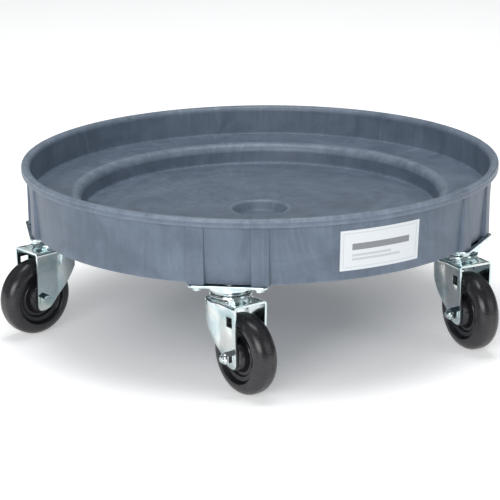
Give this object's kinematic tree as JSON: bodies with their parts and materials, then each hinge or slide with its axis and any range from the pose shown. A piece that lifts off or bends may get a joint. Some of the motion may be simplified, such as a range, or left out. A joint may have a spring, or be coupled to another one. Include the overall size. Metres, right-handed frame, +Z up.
{
  "type": "drum dolly",
  "caption": "Round moulded plastic tray with a stepped sump and a central well, on swivel casters with steel forks and hard black wheels, for moving a steel drum.",
  "frame": {"origin": "on the tray's axis, at the floor of the central well", "axes": "+Z up along the tray's axis; +Y away from the viewer's side, with the front caster near -Y; +X to the right"},
  "size_m": [0.6603, 0.667, 0.2218],
  "materials": {
    "polyethylene": "matt blue-grey moulded polyethylene with faint flow marks",
    "zinc_plate": "bright zinc plate",
    "plain_steel": "dull plated steel",
    "wheel_resin": "hard black wheel resin, part gloss"
  },
  "bodies": {
    "tray": {"tray": "polyethylene", "front_top_plate": "zinc_plate", "front_mount_bolt_1": "zinc_plate", "front_mount_bolt_2": "zinc_plate", "front_mount_bolt_3": "zinc_plate", "front_mount_bolt_4": "zinc_plate", "front_kingpin": "plain_steel", "right_top_plate": "zinc_plate", "right_mount_bolt_1": "zinc_plate", "right_mount_bolt_2": "zinc_plate", "right_mount_bolt_3": "zinc_plate", "right_mount_bolt_4": "zinc_plate", "right_kingpin": "plain_steel", "rear_right_top_plate": "zinc_plate", "rear_right_mount_bolt_1": "zinc_plate", "rear_right_mount_bolt_2": "zinc_plate", "rear_right_mount_bolt_3": "zinc_plate", "rear_right_mount_bolt_4": "zinc_plate", "rear_right_kingpin": "plain_steel", "rear_left_top_plate": "zinc_plate", "rear_left_mount_bolt_1": "zinc_plate", "rear_left_mount_bolt_2": "zinc_plate", "rear_left_mount_bolt_3": "zinc_plate", "rear_left_mount_bolt_4": "zinc_plate", "rear_left_kingpin": "plain_steel", "left_top_plate": "zinc_plate", "left_mount_bolt_1": "zinc_plate", "left_mount_bolt_2": "zinc_plate", "left_mount_bolt_3": "zinc_plate", "left_mount_bolt_4": "zinc_plate", "left_kingpin": "plain_steel"},
    "front_swivel": {"front_fork": "zinc_plate", "front_axle_bolt": "zinc_plate", "front_axle_nut": "zinc_plate", "front_wheel_bushing": "plain_steel"},
    "front_rolling": {"front_wheel": "wheel_resin"},
    "right_swivel": {"right_fork": "zinc_plate", "right_axle_bolt": "zinc_plate", "right_axle_nut": "zinc_plate", "right_wheel_bushing": "plain_steel"},
    "right_rolling": {"right_wheel": "wheel_resin"},
    "rear_right_swivel": {"rear_right_fork": "zinc_plate", "rear_right_axle_bolt": "zinc_plate", "rear_right_axle_nut": "zinc_plate", "rear_right_wheel_bushing": "plain_steel"},
    "rear_right_rolling": {"rear_right_wheel": "wheel_resin"},
    "rear_left_swivel": {"rear_left_fork": "zinc_plate", "rear_left_axle_bolt": "zinc_plate", "rear_left_axle_nut": "zinc_plate", "rear_left_wheel_bushing": "plain_steel"},
    "rear_left_rolling": {"rear_left_wheel": "wheel_resin"},
    "left_swivel": {"left_fork": "zinc_plate", "left_axle_bolt": "zinc_plate", "left_axle_nut": "zinc_plate", "left_wheel_bushing": "plain_steel"},
    "left_rolling": {"left_wheel": "wheel_resin"}
  },
  "joints": [
    {"name": "front_swivel_turn", "type": "hinge", "parent": "tray", "child": "front_swivel", "pos_m": [-0.03644, -0.28054, -0.0125], "axis": [0, 0, 1], "continuous": true},
    {"name": "front_wheel_spin", "type": "hinge", "parent": "front_swivel", "child": "front_rolling", "pos_m": [-0.01877, -0.30442, -0.087], "axis": [0.8039, 0.5948, 0], "continuous": true},
    {"name": "right_swivel_turn", "type": "hinge", "parent": "tray", "child": "right_swivel", "pos_m": [0.25555, -0.12135, -0.0125], "axis": [0, 0, 1], "continuous": true},
    {"name": "right_wheel_spin", "type": "hinge", "parent": "right_swivel", "child": "right_rolling", "pos_m": [0.26945, -0.14759, -0.087], "axis": [0.8838, 0.4679, 0], "continuous": true},
    {"name": "rear_right_swivel_turn", "type": "hinge", "parent": "tray", "child": "rear_right_swivel", "pos_m": [0.19438, 0.20555, -0.0125], "axis": [0, 0, 1], "continuous": true},
    {"name": "rear_right_wheel_spin", "type": "hinge", "parent": "rear_right_swivel", "child": "rear_right_rolling", "pos_m": [0.16746, 0.2181, -0.087], "axis": [-0.4226, -0.9063, 0], "continuous": true},
    {"name": "rear_left_swivel_turn", "type": "hinge", "parent": "tray", "child": "rear_left_swivel", "pos_m": [-0.13542, 0.24838, -0.0125], "axis": [0, 0, 1], "continuous": true},
    {"name": "rear_left_wheel_spin", "type": "hinge", "parent": "rear_left_swivel", "child": "rear_left_rolling", "pos_m": [-0.10751, 0.25854, -0.087], "axis": [-0.342, 0.9397, 0], "continuous": true},
    {"name": "left_swivel_turn", "type": "hinge", "parent": "tray", "child": "left_swivel", "pos_m": [-0.27807, -0.05204, -0.0125], "axis": [0, 0, 1], "continuous": true},
    {"name": "left_wheel_spin", "type": "hinge", "parent": "left_swivel", "child": "left_rolling", "pos_m": [-0.30007, -0.07199, -0.087], "axis": [0.6717, -0.7408, 0], "continuous": true}
  ]
}
